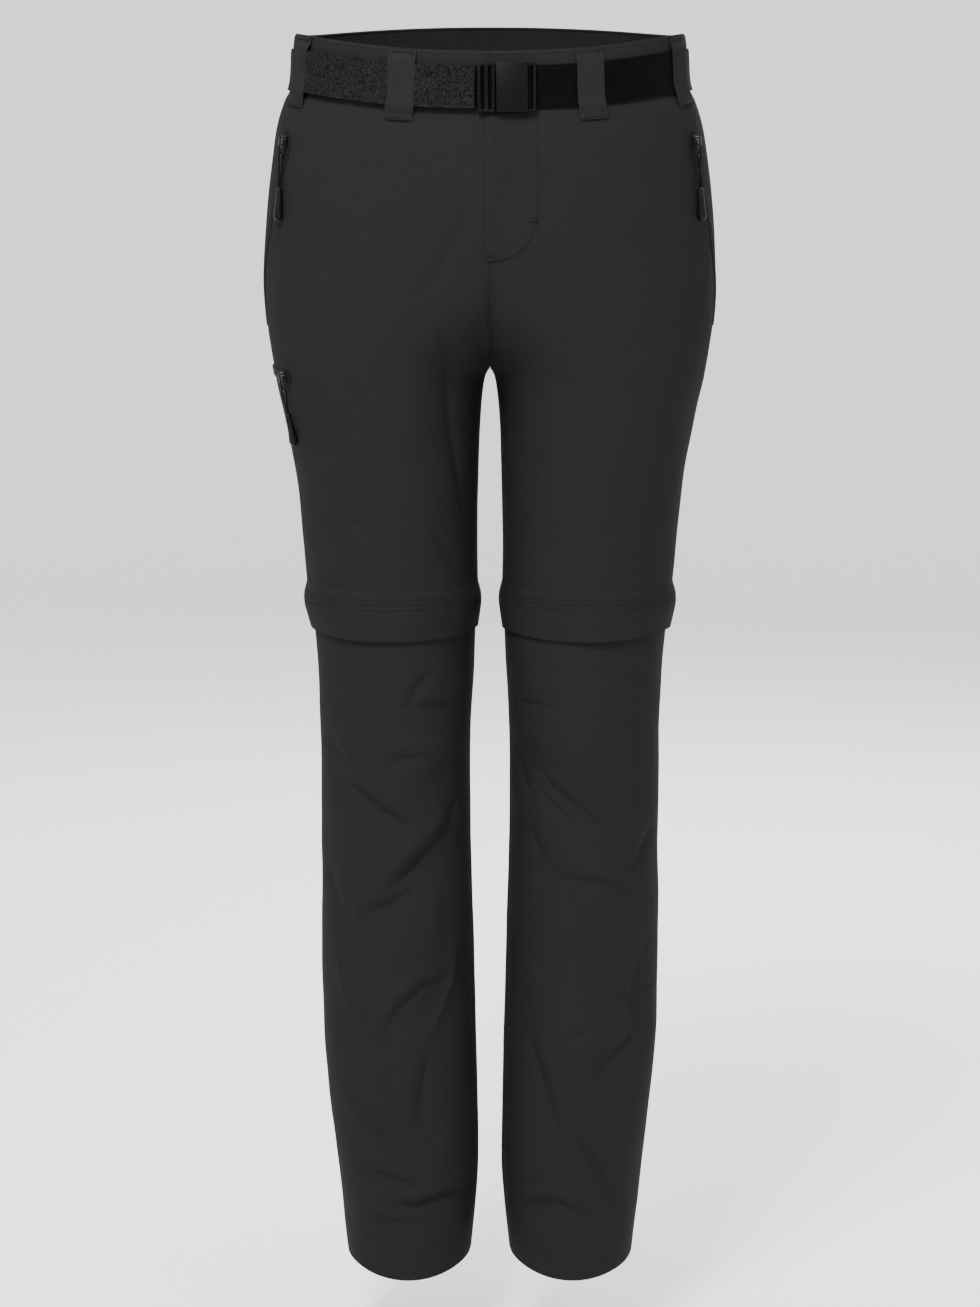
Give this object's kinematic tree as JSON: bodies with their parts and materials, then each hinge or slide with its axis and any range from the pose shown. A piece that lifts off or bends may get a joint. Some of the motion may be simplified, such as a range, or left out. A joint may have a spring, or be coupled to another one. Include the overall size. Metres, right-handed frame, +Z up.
{
  "type": "zip-off trekking trousers with belt",
  "caption": "Slim outdoor trousers with zip-off lower legs, side and thigh pocket zips, belt loops and a webbing belt with a plastic buckle, hollow as when worn.",
  "frame": {"origin": "middle of the waist ring, level with the middle of the belt at the sides, where the wearer's waist holds the trousers up", "axes": "+Z up the body, the front faces -Y, the wearer's left is +X"},
  "size_m": [0.3878, 0.2476, 1.084],
  "materials": {
    "cloth": "matt woven softshell",
    "webbing": "ribbed webbing",
    "zip_tape": "woven tape",
    "buckle": "moulded satin",
    "zip_metal": "black paint, satin",
    "pull_cord": "braided",
    "toggle": "moulded satin rubber"
  },
  "bodies": {
    "root": {"upper_front_left": "cloth", "upper_front_right": "cloth", "upper_back_left": "cloth", "upper_back_right": "cloth", "lower_front_left": "cloth", "lower_front_right": "cloth", "lower_back_left": "cloth", "lower_back_right": "cloth", "waistband_front_left": "cloth", "waistband_front_right": "cloth", "waistband_back": "cloth", "fly_lap": "cloth", "knee_flap_left": "cloth", "knee_flap_right": "cloth", "belt_loop_side_right": "cloth", "belt_loop_front_right": "cloth", "belt_loop_front_left": "cloth", "belt_loop_side_left": "cloth", "belt_loop_back_left": "cloth", "belt_loop_back_middle": "cloth", "belt_loop_back_right": "cloth", "knee_zip_left": "zip_tape", "knee_zip_right": "zip_tape", "pocket_zip_left": "zip_tape", "pocket_zip_right": "zip_tape", "thigh_zip": "zip_tape", "belt_strap": "webbing", "belt_tail": "webbing", "buckle_frame": "buckle", "buckle_socket": "buckle", "slider_left": "zip_metal", "slider_right": "zip_metal", "slider_thigh": "zip_metal"},
    "pull_left": {"link_left": "zip_metal", "pull_cord_left": "pull_cord", "toggle_left": "toggle"},
    "pull_right": {"link_right": "zip_metal", "pull_cord_right": "pull_cord", "toggle_right": "toggle"},
    "pull_thigh": {"link_thigh": "zip_metal", "pull_cord_thigh": "pull_cord", "toggle_thigh": "toggle"}
  },
  "joints": [
    {"name": "pull_left_swing", "type": "hinge", "parent": "root", "child": "pull_left", "pos_m": [0.17407, -0.05195, -0.0616], "axis": [-0.526, -0.8505, 0], "range_deg": [0, 150]},
    {"name": "pull_right_swing", "type": "hinge", "parent": "root", "child": "pull_right", "pos_m": [-0.17407, -0.05195, -0.0616], "axis": [-0.526, 0.8505, 0], "range_deg": [0, 150]},
    {"name": "pull_thigh_swing", "type": "hinge", "parent": "root", "child": "pull_thigh", "pos_m": [-0.17603, -0.05212, -0.25859], "axis": [-0.4625, 0.8866, 0], "range_deg": [0, 150]}
  ]
}
